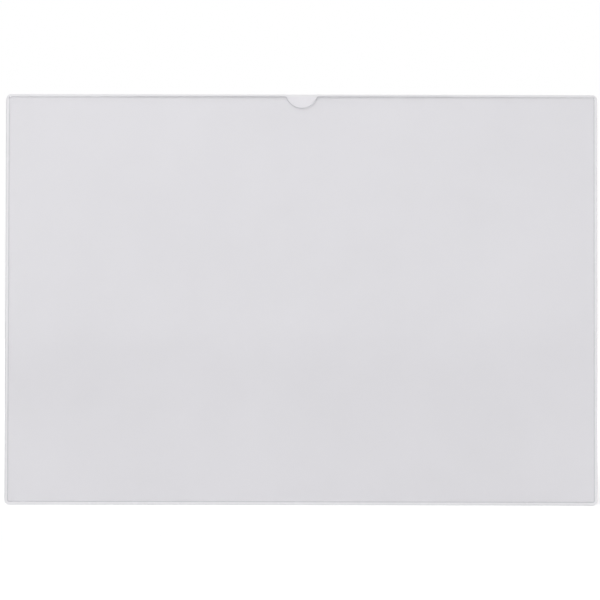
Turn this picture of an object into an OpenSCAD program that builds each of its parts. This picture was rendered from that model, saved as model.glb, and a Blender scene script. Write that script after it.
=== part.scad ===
// Magnetic card case in A4 landscape. A clear sheet is welded to a white sheet along the left, right
// and bottom edges, and the top edge is the open mouth of the pocket between them. A loose white
// backing card fills the pocket, and a rubber magnet sheet is bonded to the back.
// X runs to the right as seen from the front, Z runs up and Y runs back towards the steel board.
// The origin is the centre of the magnet's rear face.

/* [Case] */
// Width of both sheets
case_w = 310; // [200:1:450]
// Height of the back sheet
case_h = 215; // [140:1:320]
// Radius of the sheets' outer corners
corner_r = 2.5; // [0.5:0.1:8]

/* [Sheets] */
// Thickness of the clear front sheet
front_t = 0.4; // [0.25:0.05:1]
// Thickness of the white back sheet
back_t = 0.4; // [0.2:0.05:1]
// How far the front sheet stops short of the back sheet at the mouth
mouth_step = 1.2; // [0.1:0.1:3]

/* [Weld] */
// Width of the welded band along each closed edge
weld_w = 1.7; // [1:0.1:5]
// How far the welding tool presses the band below the front sheet's face
band_press_d = 0.08; // [0.02:0.01:0.15]
// Width of the deeper line that the tool presses along the inner side of the band
press_line_w = 0.8; // [0.4:0.1:1.6]
// Depth of that line below the front sheet's face
press_line_d = 0.2; // [0.1:0.01:0.22]

/* [Thumb notch] */
// Width of the notch at the mouth, before its corners are rounded
notch_w = 16; // [16:0.5:40]
// Depth of the notch below the front sheet's top edge
notch_depth = 6; // [3:0.1:8]
// Radius that blends the notch into the top edge
notch_corner_r = 1.5; // [0.5:0.1:4]

/* [Backing card] */
// Thickness of the card
card_t = 0.3; // [0.15:0.05:0.8]
// Play between the card and each sheet
card_face_play = 0.1; // [0.05:0.01:0.3]
// Play between the card and each side weld
card_side_play = 0.3; // [0.2:0.1:3]
// Play between the card and the bottom weld
card_foot_play = 0.3; // [0.1:0.1:1]
// How far the card's top edge lies below the front sheet's top edge
card_top_drop = 0.2; // [0:0.1:3]
// Radius of the card's corners
card_corner_r = 1; // [0.3:0.1:3]

/* [Magnet] */
// Thickness of the rubber magnet sheet
magnet_t = 0.8; // [0.4:0.1:2]
// Margin from the case's outline to the magnet's edge
magnet_margin = 2.5; // [1:0.1:8]
// Radius of the magnet's corners
magnet_corner_r = 2; // [0.5:0.1:6]
// Thickness of the adhesive film that bonds the magnet
adhesive_t = 0.1; // [0.05:0.01:0.3]
// Margin from the magnet's edge to the adhesive's edge
adhesive_margin = 1; // [0.3:0.1:4]

/* [Hidden] */
$fn = 64;

// Overlap that lets a cut run clear through the face that it starts from
cut_over = 1;
// Overlap that makes two blended arcs cross where they would only touch
arc_over = 0.002;

// Layers from the rear to the front, each by the Y of its rear face
adhesive_rear = -magnet_t;
back_rear = adhesive_rear - adhesive_t;
pocket_rear = back_rear - back_t;
pocket_gap = card_t + 2 * card_face_play;
card_rear = pocket_rear - card_face_play;
front_rear = pocket_rear - pocket_gap;
front_face = front_rear - front_t;

// Heights that the pieces share
case_bottom = -case_h / 2;
front_h = case_h - mouth_step;
front_top = case_bottom + front_h;
pocket_floor = case_bottom + weld_w;
pocket_half_w = case_w / 2 - weld_w;

// Thumb notch: a circle whose centre lies above the mouth
notch_r = (pow(notch_w / 2, 2) + pow(notch_depth, 2)) / (2 * notch_depth);
notch_rise = notch_r - notch_depth;

// Rounded corners of the notch: their centres, and the points where they meet the notch's circle
notch_corner_seat = notch_corner_r - arc_over;
notch_corner_reach = notch_r + notch_corner_seat;
notch_corner_drop = notch_rise + notch_corner_seat;
notch_corner_x = sqrt(pow(notch_corner_reach, 2) - pow(notch_corner_drop, 2));
notch_meet_x = notch_corner_x * notch_r / notch_corner_reach;
notch_meet_z = notch_rise - notch_corner_drop * notch_r / notch_corner_reach;

// Backing card between the welds
card_w = 2 * (pocket_half_w - card_side_play);
card_bottom = pocket_floor + card_foot_play;
card_h = front_top - card_top_drop - card_bottom;

// Magnet and adhesive behind the back sheet
magnet_w = case_w - 2 * magnet_margin;
magnet_h = case_h - 2 * magnet_margin;

// Stands a flat outline up and gives it a thickness towards the front from its rear face
module stand_up(rear, thickness) {
    translate([0, rear, 0])
        rotate([90, 0, 0])
            linear_extrude(thickness)
                children();
}

// Rectangle with round corners, centred on X and standing on the given height
module rounded_sheet(w, h, r, bottom) {
    translate([0, bottom + h / 2]) {
        square([w - 2 * r, h], center = true);
        square([w, h - 2 * r], center = true);
        for (x = [-1, 1], z = [-1, 1])
            translate([x * (w / 2 - r), z * (h / 2 - r)])
                circle(r);
    }
}

// Outline of the front sheet without its notch
module front_outline() {
    rounded_sheet(case_w, front_h, corner_r, case_bottom);
}

// Opening of the thumb notch, with its two mouth corners rounded
module notch_outline() {
    translate([0, front_top]) {
        translate([0, notch_rise])
            circle(notch_r);
        difference() {
            polygon([
                [-notch_corner_x, 0],
                [-notch_meet_x, notch_meet_z],
                [notch_meet_x, notch_meet_z],
                [notch_corner_x, 0],
                [notch_corner_x, cut_over],
                [-notch_corner_x, cut_over],
            ]);
            for (side = [-1, 1])
                translate([side * notch_corner_x, -notch_corner_seat])
                    circle(notch_corner_r);
        }
    }
}

// Outline that bounds the press marks: the pocket's, wider by the given margin on the three closed sides
// and open at the mouth. Its lower corners are concentric with the sheets' where the weld leaves room.
module press_outline(margin = 0) {
    half_w = pocket_half_w + margin;
    bottom = pocket_floor - margin;
    r = max(0, corner_r - weld_w + margin);
    translate([-half_w, bottom + r])
        square([2 * half_w, case_h]);
    if (r > 0) {
        translate([-half_w + r, bottom])
            square([2 * (half_w - r), case_h]);
        for (side = [-1, 1])
            translate([side * (half_w - r), bottom + r])
                circle(r);
    }
}

// Press marks of the welding tool: a shallow band along the edges and a deeper line at its inner side
module press_marks() {
    stand_up(front_face + band_press_d, band_press_d + cut_over)
        difference() {
            press_outline(weld_w + cut_over);
            press_outline();
        }
    stand_up(front_face + press_line_d, press_line_d + cut_over)
        difference() {
            press_outline(press_line_w / 2);
            press_outline(-press_line_w / 2);
        }
}

// One straight run of the weld, between the two sheets and inside the front sheet's outline
module weld_run(x, z, w, h) {
    color([0.88, 0.88, 0.91])
        stand_up(pocket_rear, pocket_gap)
            intersection() {
                front_outline();
                translate([x, z])
                    square([w, h]);
            }
}

module front_sheet() {
    color([0.86, 0.87, 0.9, 0.4])
        difference() {
            stand_up(front_rear, front_t)
                difference() {
                    front_outline();
                    notch_outline();
                }
            press_marks();
        }
}

module back_sheet() {
    color([0.93, 0.92, 0.93])
        stand_up(back_rear, back_t)
            rounded_sheet(case_w, case_h, corner_r, case_bottom);
}

module left_weld() {
    weld_run(-case_w / 2, pocket_floor, weld_w, front_h);
}

module right_weld() {
    weld_run(pocket_half_w, pocket_floor, weld_w, front_h);
}

module bottom_weld() {
    weld_run(-case_w / 2, case_bottom, case_w, weld_w);
}

module backing_card() {
    color([0.95, 0.94, 0.95])
        stand_up(card_rear, card_t)
            rounded_sheet(card_w, card_h, card_corner_r, card_bottom);
}

module magnet_adhesive() {
    color([0.8, 0.78, 0.7])
        stand_up(adhesive_rear, adhesive_t)
            rounded_sheet(
                magnet_w - 2 * adhesive_margin,
                magnet_h - 2 * adhesive_margin,
                magnet_corner_r,
                -magnet_h / 2 + adhesive_margin
            );
}

module magnet_sheet() {
    color([0.17, 0.15, 0.14])
        stand_up(0, magnet_t)
            rounded_sheet(magnet_w, magnet_h, magnet_corner_r, -magnet_h / 2);
}

front_sheet();
back_sheet();
left_weld();
right_weld();
bottom_weld();
backing_card();
magnet_adhesive();
magnet_sheet();
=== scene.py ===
"""Magnetic card case. The clear front sheet is modelled here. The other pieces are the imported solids, and
the back sheet, the card and the magnet have eased edges. Every surface has a procedural finish.

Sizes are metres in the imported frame: X right, Y back and Z up. Named angles are degrees."""

import math

import bpy
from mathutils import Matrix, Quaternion, Vector
from mathutils.geometry import delaunay_2d_cdt


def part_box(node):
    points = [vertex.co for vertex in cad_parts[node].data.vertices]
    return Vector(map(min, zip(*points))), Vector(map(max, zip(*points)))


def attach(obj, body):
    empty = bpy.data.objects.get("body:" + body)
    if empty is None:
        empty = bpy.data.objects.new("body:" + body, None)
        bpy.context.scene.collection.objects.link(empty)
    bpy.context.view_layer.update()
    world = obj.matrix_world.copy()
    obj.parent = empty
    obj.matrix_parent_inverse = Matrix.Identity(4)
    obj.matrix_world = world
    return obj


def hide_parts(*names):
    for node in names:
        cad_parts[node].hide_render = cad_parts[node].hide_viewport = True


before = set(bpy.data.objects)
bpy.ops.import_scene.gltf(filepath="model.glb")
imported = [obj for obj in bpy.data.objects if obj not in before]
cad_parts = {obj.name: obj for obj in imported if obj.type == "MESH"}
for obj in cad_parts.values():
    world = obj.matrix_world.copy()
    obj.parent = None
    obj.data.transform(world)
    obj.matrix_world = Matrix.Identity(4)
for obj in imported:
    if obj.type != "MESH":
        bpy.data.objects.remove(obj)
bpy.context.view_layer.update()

MM = 0.001
WHITE = (1, 1, 1, 1)

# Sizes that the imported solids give
front_low, front_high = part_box("front_sheet")
weld_low, weld_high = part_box("left_weld")
HALF_W = front_high.x
TOP = front_high.z
BOTTOM = front_low.z
FRONT_FACE = front_low.y
FRONT_REAR = front_high.y
WELD_W = weld_high.x - weld_low.x

# Sizes of the front sheet's details and of the card's corners, as in the part's source
CORNER_R = 2.5 * MM
NOTCH_W = 16 * MM
NOTCH_DEPTH = 6 * MM
NOTCH_CORNER_R = 1.5 * MM
BAND_PRESS = 0.08 * MM
LINE_W = 0.8 * MM
LINE_DEPTH = 0.2 * MM
CARD_CORNER_R = 1 * MM

# Soft section of the pressed line from its outer side: shares of its width, and of its depth there
LINE_SECTION = ((0, BAND_PRESS / LINE_DEPTH), (0.22, 0.85), (0.5, 1), (0.78, 0.8), (1, 0))

# Front sheet's rounded edge, its gap to the welds and the bow of its mouth
EDGE_R = 0.19 * MM
EDGE_SHARE = 0.45
WELD_GAP = 0.015 * MM
MOUTH_BOW = 0.35 * MM
BOW_REACH = 120 * MM

# Steps and distances of the front sheet's mesh
GRID_STEP = 10 * MM
GRID_CLEAR = 4 * MM
FOOT_STEPS = 15
SIDE_STEPS = 20
MOUTH_STEPS = 18
HALF_NOTCH_STEPS = 20
CORNER_STEPS = 8
EDGE_STEPS = 3
LEAST_TURN = 3
MERGE_DISTANCE = 1e-7

# Material slots of the front sheet
CLEAR, PRESSED, CUT = range(3)

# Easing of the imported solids' edges
SHEET_EASE = 0.1 * MM
CARD_EASE = 0.04 * MM
MAGNET_EASE = 0.12 * MM
EASE_SEGMENTS = 2
JOIN_DISTANCE = 0.001 * MM
FLAT_ANGLE = 1
SHARP_ANGLE = 40

# Painted shade: how much more the pressed line is painted dark at its foot, and how the painted shade on
# the cut edge fades at the mouth's ends and in the notch
FOOT_PAINTED_SHADE = 1.16
FOOT_REACH = 6 * MM
END_FADE = 0.8
END_FADE_POWER = 1.5
NOTCH_FADE = 0.3

# Range of a noise texture's values that a finish is spread over
NOISE_LOW = 0.3
NOISE_HIGH = 0.7

# Light that a clear face mirrors: its share straight on, what a grazing angle adds, and the rise's power
MIRROR_STRAIGHT = 0.042
MIRROR_GRAZING = 0.9
MIRROR_POWER = 5

# The photograph's view
PHOTO_SIZE = 600
CASE_PIXELS = 592.3
CAMERA_DISTANCE = 1.02
CAMERA_ELEVATION = -1.05
CAMERA_ROLL = 0.11
AIM_X = -0.67 * MM
AIM_Z = -0.36 * MM
SENSOR = 36
NEAR_CLIP = 0.01

# Light
AMBIENT = 0.65
LAMP_SIZE = 1.2
LAMP_SPREAD = 60
KEY_POWER = 3.0
KEY_PLACE = (-0.9, -1.5, 1.1)
KEY_AIM = (-0.12, 0, 0.36)
REAR_POWER = 2.4
REAR_PLACE = (1.0, 1.6, 1.0)
REAR_AIM = (0, 0, 0)

# Floor, and the glow that makes it white
FLOOR_DROP = 0.05 * MM
FLOOR_SIZE = 100
FLOOR_GLOW_NEAR = 0.325
FLOOR_GLOW_FAR = 0.52
FLOOR_GLOW_MIRRORED = 0.26
GLOW_START = 0.4
GLOW_END = 1.2


# Front sheet: outline

def notch_circle():
    """Radius of the thumb notch and the height of its centre above the mouth."""
    radius = ((NOTCH_W / 2) ** 2 + NOTCH_DEPTH**2) / (2 * NOTCH_DEPTH)
    return radius, radius - NOTCH_DEPTH


def arc(centre, radius, angles):
    """Points on a circle at the given angles in radians."""
    return [(centre[0] + radius * math.cos(a), centre[1] + radius * math.sin(a)) for a in angles]


def steps(start, end, count):
    """Values in even steps from start to end, both included."""
    return [start + (end - start) * k / count for k in range(count + 1)]


def press_profile():
    """Distance from a welded edge and depth below the face, for each line of the press mark."""
    start = WELD_W - LINE_W / 2
    return [(start + LINE_W * share, LINE_DEPTH * depth) for share, depth in LINE_SECTION]


def side_heights():
    """Heights of the points along a side, between its corners."""
    return steps(BOTTOM + CORNER_R, TOP - CORNER_R, SIDE_STEPS)


def foot_places():
    """Places of the points along the right half of the bottom, up to the corner."""
    return steps(0, HALF_W - CORNER_R, FOOT_STEPS)


def top_corner_angles():
    """Steps round a top corner, one of them where each line of the press mark runs out."""
    crossings = [math.acos((CORNER_R - at) / (CORNER_R - EDGE_R)) for at, _ in press_profile()]
    least = math.radians(LEAST_TURN)
    even = steps(0, math.pi / 2, CORNER_STEPS)
    return sorted(crossings + [a for a in even if min(abs(a - c) for c in crossings) > least])


def right_half(inset):
    """The front sheet's outline from the middle of the bottom edge round to the middle of the notch."""
    radius, rise = notch_circle()
    corner_x = math.sqrt((radius + NOTCH_CORNER_R) ** 2 - (rise + NOTCH_CORNER_R) ** 2)
    meet = math.atan2(rise + NOTCH_CORNER_R, -corner_x)
    right = HALF_W - CORNER_R
    low_corner = steps(-math.pi / 2, 0, CORNER_STEPS)
    notch_corner = steps(math.pi / 2, meet, CORNER_STEPS)
    notch = steps(meet - math.pi, -math.pi / 2, HALF_NOTCH_STEPS)
    points = [(x, BOTTOM + inset) for x in foot_places()[:-1]]
    points += arc((right, BOTTOM + CORNER_R), CORNER_R - inset, low_corner)
    points += [(HALF_W - inset, z) for z in side_heights()[1:-1]]
    points += arc((right, TOP - CORNER_R), CORNER_R - inset, top_corner_angles())
    points += [(x, TOP - inset) for x in steps(right, corner_x, MOUTH_STEPS)[1:-1]]
    points += arc((corner_x, TOP - NOTCH_CORNER_R), NOTCH_CORNER_R - inset, notch_corner)
    points += arc((0, TOP + rise), radius + inset, notch[1:])
    return points


def front_outline(inset):
    """The front sheet's whole outline, drawn in by the inset."""
    right = right_half(inset)
    left = [(-x, z) for x, z in reversed(right[1:-1])]
    return right + left


# Front sheet: surface

def edge_distance(x, z, inset=0, corner_r=CORNER_R):
    """Distance in from the U of the three welded edges, or from the same U drawn in by an inset."""
    side = HALF_W - inset - abs(x)
    foot = z - BOTTOM - inset
    if max(side, foot) < corner_r:
        return corner_r - math.hypot(corner_r - side, corner_r - foot)
    return min(side, foot)


def press_depth(x, z):
    """Depth of the press mark below the front face."""
    near = edge_distance(x, z)
    profile = [(0, BAND_PRESS)] + press_profile()
    for (a, depth_a), (b, depth_b) in zip(profile, profile[1:]):
        if near <= b:
            return depth_a + (depth_b - depth_a) * (near - a) / (b - a)
    return 0


def press_share(x, z):
    """Depth of the press mark as a share of its deepest line."""
    return press_depth(x, z) / LINE_DEPTH


def mouth_bow(x, z):
    """How far the sheet stands off the card near the mouth, most at its middle."""
    across = max(0, 1 - (x / (HALF_W - WELD_W)) ** 2)
    down = max(0, 1 - (TOP - z) / BOW_REACH)
    return MOUTH_BOW * across * down**2


def front_y(x, z):
    """Place of the front face, with the press mark and the bow of the mouth."""
    return FRONT_FACE + press_depth(x, z) - mouth_bow(x, z)


def rear_y(x, z):
    """Place of the rear face, with the gap to the welds and the bow of the mouth."""
    return FRONT_REAR - WELD_GAP - mouth_bow(x, z)


def edge_drop(x, z):
    """Depth of the rounding at the sheet's edge, a little under half of the thickness there."""
    return EDGE_SHARE * (FRONT_REAR - FRONT_FACE - press_depth(x, z))


def painted_edge_shade(x, z):
    """Painted shade on the cut edge, standing in for the shadow under the mouth's lip: darkest along the
    middle of the mouth, less in the notch and at the ends.
    """
    along = 1 - END_FADE * (abs(x) / HALF_W) ** END_FADE_POWER
    down = min(1, max(0, (TOP - z) / NOTCH_CORNER_R))
    return along * (1 - NOTCH_FADE * down)


# Front sheet: mesh

def press_lines():
    """Each line of the press mark as a U from the mouth down one side, along the bottom and up the other.

    The innermost line turns its corners like the card, so that no gap shows beside the card's corners."""
    turn = steps(-math.pi / 2, 0, CORNER_STEPS)
    lines = []
    for at, depth in press_profile():
        side = HALF_W - at
        rise = math.sqrt((CORNER_R - EDGE_R) ** 2 - (CORNER_R - at) ** 2)
        turn_r = CORNER_R - at if depth else CARD_CORNER_R
        right = [(x, BOTTOM + at) for x in foot_places()[:-1]]
        right += arc((side - turn_r, BOTTOM + at + turn_r), turn_r, turn)
        right += [(side, z) for z in side_heights()[1:]] + [(side, TOP - CORNER_R + rise)]
        lines.append([(-x, z) for x, z in reversed(right[1:])] + right)
    return lines


def grid_points():
    """Points inside the panel that carry the mouth's bow, clear of the edges and the notch."""
    radius, rise = notch_circle()
    margin = WELD_W + GRID_CLEAR
    columns = int((HALF_W - margin) / GRID_STEP)
    rows = int((TOP - BOTTOM - 2 * margin) / GRID_STEP)
    points = []
    for column in range(-columns, columns + 1):
        for row in range(rows + 1):
            x = column * GRID_STEP
            z = TOP - GRID_CLEAR - row * GRID_STEP
            if math.hypot(x, z - TOP - rise) > radius + GRID_CLEAR:
                points.append((x, z))
    return points


def triangulated_face():
    """Points and triangles of the face inside the rounded edge, and the points round its outline."""
    outline = front_outline(EDGE_R)
    points = [Vector(p) for p in outline]
    edges = [(k, (k + 1) % len(outline)) for k in range(len(outline))]
    for line in press_lines():
        start = len(points)
        points += [Vector(p) for p in line]
        edges += [(start + k, start + k + 1) for k in range(len(line) - 1)]
    points += [Vector(p) for p in grid_points()]
    inside_only = 1
    made, _, triangles, origins, _, _ = delaunay_2d_cdt(points, edges, [], inside_only, MERGE_DISTANCE)
    order = {}
    for new, old in enumerate(origins):
        for index in old:
            order[index] = new
    ring = [order[k] for k in range(len(outline))]
    return [tuple(p) for p in made], triangles, ring


def sheet_side(flat, ring, y_of, towards):
    """Vertices of one face and its rounded edge, and the loops of them from the face out to the edge."""
    vertices = [(x, y_of(x, z), z) for x, z in flat]
    loops = [ring]
    for bend in reversed(steps(0, math.pi / 2, EDGE_STEPS)[:-1]):
        inset = EDGE_R * (1 - math.cos(bend))
        sunk = towards * (1 - math.sin(bend))
        loops.append(range(len(vertices), len(vertices) + len(ring)))
        vertices += [(x, y_of(x, z) + sunk * edge_drop(x, z), z) for x, z in front_outline(inset)]
    return vertices, loops


def rear_slot(points):
    """Slot of a rear face: clear inside the window that the press mark frames, and milky round it."""
    window_inset, _ = press_profile()[-1]
    middle = sum((Vector(p) for p in points), Vector((0, 0))) / len(points)
    return CLEAR if edge_distance(*middle, window_inset, CARD_CORNER_R) > 0 else PRESSED


def sheet_shell():
    """Vertices and faces of the whole closed sheet, and the material slot of each face."""
    flat, triangles, ring = triangulated_face()
    front, front_loops = sheet_side(flat, ring, front_y, 1)
    rear, rear_loops = sheet_side(flat, ring, rear_y, -1)
    vertices = front + rear
    first_rear = len(front)
    faces = []
    slots = []
    for triangle in triangles:
        faces.append(triangle)
        slots.append(CLEAR)
        faces.append([first_rear + k for k in reversed(triangle)])
        slots.append(rear_slot([flat[k] for k in triangle]))

    loops = front_loops + [[first_rear + k for k in loop] for loop in reversed(rear_loops)]
    count = len(ring)
    for inner, outer in zip(loops, loops[1:]):
        for k in range(count):
            after = (k + 1) % count
            faces.append([inner[k], outer[k], outer[after], inner[after]])
            x, _, z = vertices[inner[k]]
            slots.append(PRESSED if edge_distance(x, z) < WELD_W else CUT)
    return vertices, faces, slots


def store_values(mesh, name, value_at):
    """Stores a value at each vertex, under a name that the finishes read."""
    layer = mesh.attributes.new(name, "FLOAT", "POINT")
    layer.data.foreach_set("value", [value_at(v.co.x, v.co.z) for v in mesh.vertices])


def clear_front():
    """The clear sheet as one closed mesh with rounded cut edges, the press mark and the bowed mouth."""
    vertices, faces, slots = sheet_shell()
    mesh = bpy.data.meshes.new("clear_front")
    mesh.from_pydata(vertices, [], faces)
    for polygon, slot in zip(mesh.polygons, slots):
        polygon.material_index = slot
        polygon.use_smooth = True
    store_values(mesh, "press", press_share)
    # Painted shade for the cut edge, darkest along the middle of the mouth
    store_values(mesh, "shade", painted_edge_shade)
    sheet = bpy.data.objects.new("clear_front", mesh)
    bpy.context.scene.collection.objects.link(sheet)
    normals = sheet.modifiers.new("even_normals", "WEIGHTED_NORMAL")
    normals.mode = "FACE_AREA"
    return sheet


# Finishes

class Finish:
    """A new node material with short calls for the nodes that the finishes share."""

    def __init__(self, name):
        self.material = bpy.data.materials.new(name)
        self.material.use_nodes = True
        self.tree = self.material.node_tree
        self.tree.nodes.clear()
        self.output = self.add("ShaderNodeOutputMaterial")
        self.place = self.add("ShaderNodeTexCoord").outputs["Object"]

    def add(self, kind, **settings):
        """New node of a kind, with its settings."""
        node = self.tree.nodes.new(kind)
        for name, value in settings.items():
            setattr(node, name, value)
        return node

    def link(self, source, target):
        self.tree.links.new(source, target)

    def fill(self, node, values):
        """Sets each input of a node, by name or number, to a value, or links it to a socket."""
        for name, value in values.items():
            socket = node.inputs[name]
            if isinstance(value, bpy.types.NodeSocket):
                self.link(value, socket)
            else:
                socket.default_value = value
        return node

    def attribute(self, name):
        """Value that the mesh keeps under a name."""
        return self.add("ShaderNodeAttribute", attribute_name=name).outputs["Fac"]

    def noise(self, scale, stretch=(1, 1, 1), detail=3):
        """Noise with about that many spots to a metre, longer along an axis whose stretch is under one."""
        mapping = self.fill(self.add("ShaderNodeMapping"), {"Vector": self.place, "Scale": stretch})
        values = {"Vector": mapping.outputs["Vector"], "Scale": scale, "Detail": detail}
        return self.fill(self.add("ShaderNodeTexNoise"), values).outputs["Fac"]

    def maths(self, operation, *values):
        """Result of an operation on values or sockets."""
        node = self.add("ShaderNodeMath", operation=operation)
        return self.fill(node, dict(enumerate(values))).outputs[0]

    def mixed(self, *parts):
        """Sum of textures, each times its weight."""
        total, *others = [self.maths("MULTIPLY", texture, weight) for texture, weight in parts]
        for other in others:
            total = self.maths("ADD", total, other)
        return total

    def ramp(self, value, low, high, start=NOISE_LOW, end=NOISE_HIGH):
        """Colour that runs from low to high as a value goes from start to end."""
        node = self.add("ShaderNodeValToRGB")
        for element, at, colour in zip(node.color_ramp.elements, (start, end), (low, high)):
            element.position = at
            element.color = (*colour, 1)
        self.link(value, node.inputs["Fac"])
        return node.outputs["Color"]

    def spread(self, value, low, high, start=NOISE_LOW, end=NOISE_HIGH, interpolation="LINEAR"):
        """Number that runs from low to high as a value goes from start to end."""
        node = self.add("ShaderNodeMapRange", interpolation_type=interpolation)
        values = {"Value": value, "From Min": start, "From Max": end, "To Min": low, "To Max": high}
        return self.fill(node, values).outputs["Result"]

    def bump(self, height, depth):
        """Normal of a surface that a texture raises by up to the given depth."""
        values = {"Height": height, "Distance": depth}
        return self.fill(self.add("ShaderNodeBump"), values).outputs["Normal"]

    def principled(self, **values):
        """Main shader, whose inputs are named with underscores for spaces."""
        names = {name.replace("_", " "): value for name, value in values.items()}
        return self.fill(self.add("ShaderNodeBsdfPrincipled"), names)

    def done(self, shader):
        """The material, with the shader on its surface."""
        self.link(shader.outputs[0], self.output.inputs["Surface"])
        return self.material


def clear_pvc():
    """Thin clear sheet: light goes straight through, a little dimmer, and each face mirrors a little."""
    finish = Finish("clear_pvc")
    tint = finish.ramp(finish.noise(14), low=(0.984, 0.9845, 0.985), high=(0.99, 0.9905, 0.991))
    through = finish.fill(finish.add("ShaderNodeBsdfTransparent"), {"Color": tint})
    scuffs = finish.noise(900, stretch=(1, 1, 0.08))
    roughness = finish.spread(scuffs, low=0.03, high=0.07)
    wave = finish.bump(finish.noise(22, detail=1), depth=0.05 * MM)
    mirror = finish.fill(
        finish.add("ShaderNodeBsdfAnisotropic"),
        {"Color": WHITE, "Roughness": roughness, "Normal": wave},
    )
    facing = finish.add("ShaderNodeLayerWeight").outputs["Facing"]
    rise = finish.maths("POWER", facing, MIRROR_POWER)
    share = finish.maths("MULTIPLY_ADD", rise, MIRROR_GRAZING, MIRROR_STRAIGHT)
    sockets = {0: share, 1: through.outputs[0], 2: mirror.outputs[0]}
    return finish.done(finish.fill(finish.add("ShaderNodeMixShader"), sockets))


def pressed_pvc_and_painted_shade():
    """Fused rim: milky where the sheets are welded, and grey along the pressed line, partly the weld mark's
    own tone and partly painted shade of the groove, with more painted shade at the foot.
    """
    finish = Finish("pressed_pvc_and_painted_shade")
    # The line's grey follows the press depth: partly the weld mark's own tone, partly painted shade in the
    # groove
    line = finish.maths("SUBTRACT", finish.attribute("press"), BAND_PRESS / LINE_DEPTH)
    height = finish.fill(finish.add("ShaderNodeSeparateXYZ"), {"Vector": finish.place}).outputs["Z"]
    # Painted shade: darker still towards the bottom edge, where the groove's upper wall would be in shadow
    foot = finish.spread(height, FOOT_PAINTED_SHADE, 1, BOTTOM + WELD_W, BOTTOM + FOOT_REACH, "SMOOTHSTEP")
    flow = finish.noise(160)
    blotch = finish.spread(flow, low=-0.06, high=0.06)
    depth = finish.maths("ADD", finish.maths("MULTIPLY", line, foot), blotch)
    shader = finish.principled(
        Base_Color=finish.ramp(depth, (0.85, 0.845, 0.865), (0.5, 0.5, 0.535), start=0.02, end=0.9),
        Roughness=finish.spread(flow, low=0.18, high=0.3),
        Normal=finish.bump(finish.noise(700), depth=0.01 * MM),
    )
    return finish.done(shader)


def cut_edge_and_painted_shade():
    """Die-cut edge of the clear sheet: frosted, with painted shade that makes it darkest where the mouth
    stands off the card.
    """
    finish = Finish("cut_edge_and_painted_shade")
    drag = finish.noise(2500, stretch=(1, 0.15, 1))
    streak = finish.spread(drag, low=-0.08, high=0.08)
    depth = finish.maths("ADD", finish.attribute("shade"), streak)
    shader = finish.principled(
        # The ramp's dark end is painted shade, and its light end is the frosted edge's own tone
        Base_Color=finish.ramp(depth, (0.74, 0.74, 0.76), (0.21, 0.21, 0.24), start=0.3, end=1.0),
        Roughness=finish.spread(drag, low=0.3, high=0.5),
        Normal=finish.bump(drag, depth=0.01 * MM),
    )
    return finish.done(shader)


def white_card():
    """Smooth uncoated card with faint fibre and a cloudy formation."""
    finish = Finish("white_card")
    cloud = finish.noise(60, detail=4)
    fibre = finish.noise(1400, stretch=(0.35, 1, 1), detail=5)
    mottle = finish.mixed((cloud, 0.4), (fibre, 0.6))
    shader = finish.principled(
        Base_Color=finish.ramp(mottle, low=(0.795, 0.785, 0.8145), high=(0.8138, 0.803, 0.8337)),
        Roughness=finish.spread(fibre, low=0.75, high=0.9),
        Specular_IOR_Level=0.25,
        Normal=finish.bump(fibre, depth=0.015 * MM),
    )
    return finish.done(shader)


def white_pvc():
    """Opaque white sheet with a fine satin grain."""
    finish = Finish("white_pvc")
    grain = finish.noise(1800, detail=2)
    cloud = finish.noise(30)
    shader = finish.principled(
        Base_Color=finish.ramp(cloud, low=(0.79, 0.785, 0.805), high=(0.815, 0.81, 0.825)),
        Roughness=finish.spread(grain, low=0.32, high=0.46),
        Normal=finish.bump(grain, depth=0.012 * MM),
    )
    return finish.done(shader)


def weld_pvc():
    """Milky fused plastic between the two sheets."""
    finish = Finish("weld_pvc")
    flow = finish.noise(260, stretch=(1, 1, 0.4))
    shader = finish.principled(
        Base_Color=finish.ramp(flow, low=(0.76, 0.755, 0.785), high=(0.81, 0.805, 0.825)),
        Roughness=finish.spread(flow, low=0.25, high=0.4),
    )
    return finish.done(shader)


def adhesive_film():
    """Cloudy amber film between the back sheet and the magnet."""
    finish = Finish("adhesive_film")
    cloud = finish.noise(120)
    shader = finish.principled(
        Base_Color=finish.ramp(cloud, low=(0.6, 0.56, 0.46), high=(0.7, 0.66, 0.56)),
        Roughness=finish.spread(cloud, low=0.3, high=0.5),
    )
    return finish.done(shader)


def rubber_magnet():
    """Ferrite-filled rubber: dull brown-black with roller streaks and a fine powdery speckle."""
    finish = Finish("rubber_magnet")
    streak = finish.noise(700, stretch=(0.03, 1, 1))
    cloud = finish.noise(12, detail=4)
    speckle = finish.noise(2600, detail=2)
    mottle = finish.mixed((streak, 0.3), (cloud, 0.4), (speckle, 0.3))
    relief = finish.mixed((streak, 0.3), (speckle, 1))
    shader = finish.principled(
        Base_Color=finish.ramp(mottle, low=(0.03, 0.027, 0.025), high=(0.052, 0.047, 0.043)),
        Roughness=finish.spread(speckle, low=0.6, high=0.8),
        Specular_IOR_Level=0.3,
        Normal=finish.bump(relief, depth=0.02 * MM),
    )
    return finish.done(shader)


# Pieces

def dress_solid(node, material):
    """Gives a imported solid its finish."""
    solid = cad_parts[node]
    solid.data.materials.clear()
    solid.data.materials.append(material)
    return solid


def ease_edges(solid, radius):
    """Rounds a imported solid's edges, once its loose triangles are joined into whole flats."""
    join = solid.modifiers.new("joined_faces", "WELD")
    join.merge_threshold = JOIN_DISTANCE
    flats = solid.modifiers.new("whole_flats", "DECIMATE")
    flats.decimate_type = "DISSOLVE"
    flats.angle_limit = math.radians(FLAT_ANGLE)
    bevel = solid.modifiers.new("eased_edges", "BEVEL")
    bevel.width = radius
    bevel.segments = EASE_SEGMENTS
    bevel.limit_method = "ANGLE"
    bevel.angle_limit = math.radians(SHARP_ANGLE)
    bevel.harden_normals = True


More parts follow.
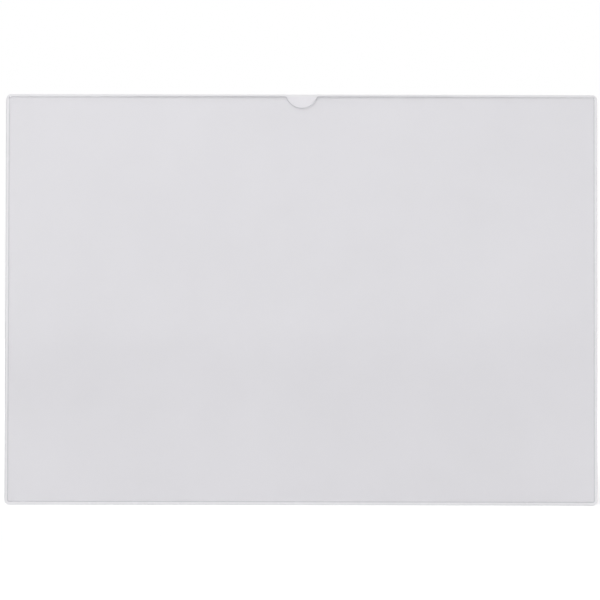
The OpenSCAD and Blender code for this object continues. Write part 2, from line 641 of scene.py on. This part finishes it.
def make_case():
    """The clear front in place of its plain solid, and the finish of every other piece."""
    sheet = clear_front()
    for material in (clear_pvc(), pressed_pvc_and_painted_shade(), cut_edge_and_painted_shade()):
        sheet.data.materials.append(material)
    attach(sheet, "case")
    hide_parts("front_sheet")

    ease_edges(dress_solid("back_sheet", white_pvc()), SHEET_EASE)
    ease_edges(dress_solid("backing_card", white_card()), CARD_EASE)
    ease_edges(dress_solid("magnet_sheet", rubber_magnet()), MAGNET_EASE)
    dress_solid("magnet_adhesive", adhesive_film())
    weld = weld_pvc()
    for node in ("left_weld", "right_weld", "bottom_weld"):
        dress_solid(node, weld)


# Stage

def either(tree, first, second):
    """One where either of two values is one, and zero elsewhere."""
    node = tree.nodes.new("ShaderNodeMath")
    node.operation = "MAXIMUM"
    tree.links.new(first, node.inputs[0])
    tree.links.new(second, node.inputs[1])
    return node.outputs[0]


def mirrored_share(tree, path):
    """One for what a mirror or clear surface shows, and zero for the rest."""
    return either(tree, path.outputs["Is Glossy Ray"], path.outputs["Is Transmission Ray"])


def make_world():
    """White where the camera, a mirror or a clear surface shows it, and a dimmer light on the case."""
    world = bpy.data.worlds.new("studio")
    bpy.context.scene.world = world
    world.use_nodes = True
    tree = world.node_tree
    path = tree.nodes.new("ShaderNodeLightPath")
    seen = either(tree, path.outputs["Is Camera Ray"], mirrored_share(tree, path))
    level = tree.nodes.new("ShaderNodeMapRange")
    level.inputs["To Min"].default_value = AMBIENT
    level.inputs["To Max"].default_value = 1
    tree.links.new(seen, level.inputs["Value"])
    tree.links.new(level.outputs["Result"], tree.nodes["Background"].inputs["Strength"])
    tree.nodes["Background"].inputs["Color"].default_value = WHITE


def pale_floor():
    """Pale paper with a glow that only the camera and mirrors see, more of it away from the case."""
    finish = Finish("pale_floor")
    colour = finish.ramp(finish.noise(3), low=(0.8, 0.8, 0.8), high=(0.82, 0.82, 0.82))
    paper = finish.fill(finish.add("ShaderNodeBsdfDiffuse"), {"Color": colour})
    away = finish.fill(finish.add("ShaderNodeVectorMath", operation="LENGTH"), {0: finish.place})
    rise = finish.spread(
        away.outputs["Value"], FLOOR_GLOW_NEAR, FLOOR_GLOW_FAR, GLOW_START, GLOW_END, "SMOOTHSTEP"
    )
    path = finish.add("ShaderNodeLightPath")
    seen = finish.maths("MULTIPLY", path.outputs["Is Camera Ray"], rise)
    mirrored = finish.maths("MULTIPLY", mirrored_share(finish.tree, path), FLOOR_GLOW_MIRRORED)
    strength = finish.maths("ADD", seen, mirrored)
    glow = finish.fill(finish.add("ShaderNodeEmission"), {"Strength": strength})
    sockets = {0: paper.outputs[0], 1: glow.outputs[0]}
    return finish.done(finish.fill(finish.add("ShaderNodeAddShader"), sockets))


def make_floor():
    """Pale floor that looks white in the open and keeps the case's shadow."""
    half = FLOOR_SIZE / 2
    level = BOTTOM - FLOOR_DROP
    mesh = bpy.data.meshes.new("floor")
    corners = [(-half, -half, level), (half, -half, level), (half, half, level), (-half, half, level)]
    mesh.from_pydata(corners, [], [(0, 1, 2, 3)])
    mesh.materials.append(pale_floor())
    floor = bpy.data.objects.new("floor", mesh)
    bpy.context.scene.collection.objects.link(floor)


def softbox(name, place, target, power):
    """Square soft lamp that points at a target."""
    lamp = bpy.data.lights.new(name, "AREA")
    lamp.shape = "SQUARE"
    lamp.size = LAMP_SIZE
    lamp.energy = power
    lamp.spread = math.radians(LAMP_SPREAD)
    holder = bpy.data.objects.new(name, lamp)
    holder.location = place
    holder.rotation_euler = (Vector(target) - Vector(place)).to_track_quat("-Z", "Y").to_euler()
    bpy.context.scene.collection.objects.link(holder)


def make_lights():
    """One lamp in front at the upper left, and one behind at the upper right."""
    softbox("key", KEY_PLACE, KEY_AIM, KEY_POWER)
    softbox("rear", REAR_PLACE, REAR_AIM, REAR_POWER)


def make_camera():
    """Straight-on view from just below the middle, so that the bottom edge is a little nearer."""
    view_width = PHOTO_SIZE * 2 * HALF_W / CASE_PIXELS
    data = bpy.data.cameras.new("camera")
    data.sensor_width = SENSOR
    data.lens = SENSOR * CAMERA_DISTANCE / view_width
    data.clip_start = NEAR_CLIP
    data.clip_end = 2 * FLOOR_SIZE
    camera = bpy.data.objects.new("camera", data)
    tilt = math.radians(CAMERA_ELEVATION)
    aim = Vector((AIM_X, FRONT_FACE, AIM_Z))
    camera.location = aim + CAMERA_DISTANCE * Vector((0, -math.cos(tilt), math.sin(tilt)))
    level = (aim - camera.location).to_track_quat("-Z", "Y")
    roll = Quaternion((0, 0, 1), math.radians(CAMERA_ROLL))
    camera.rotation_euler = (level @ roll).to_euler()
    bpy.context.scene.collection.objects.link(camera)
    bpy.context.scene.camera = camera


make_camera()
make_case()
make_world()
make_floor()
make_lights()
bpy.context.scene.view_settings.view_transform = "Standard"
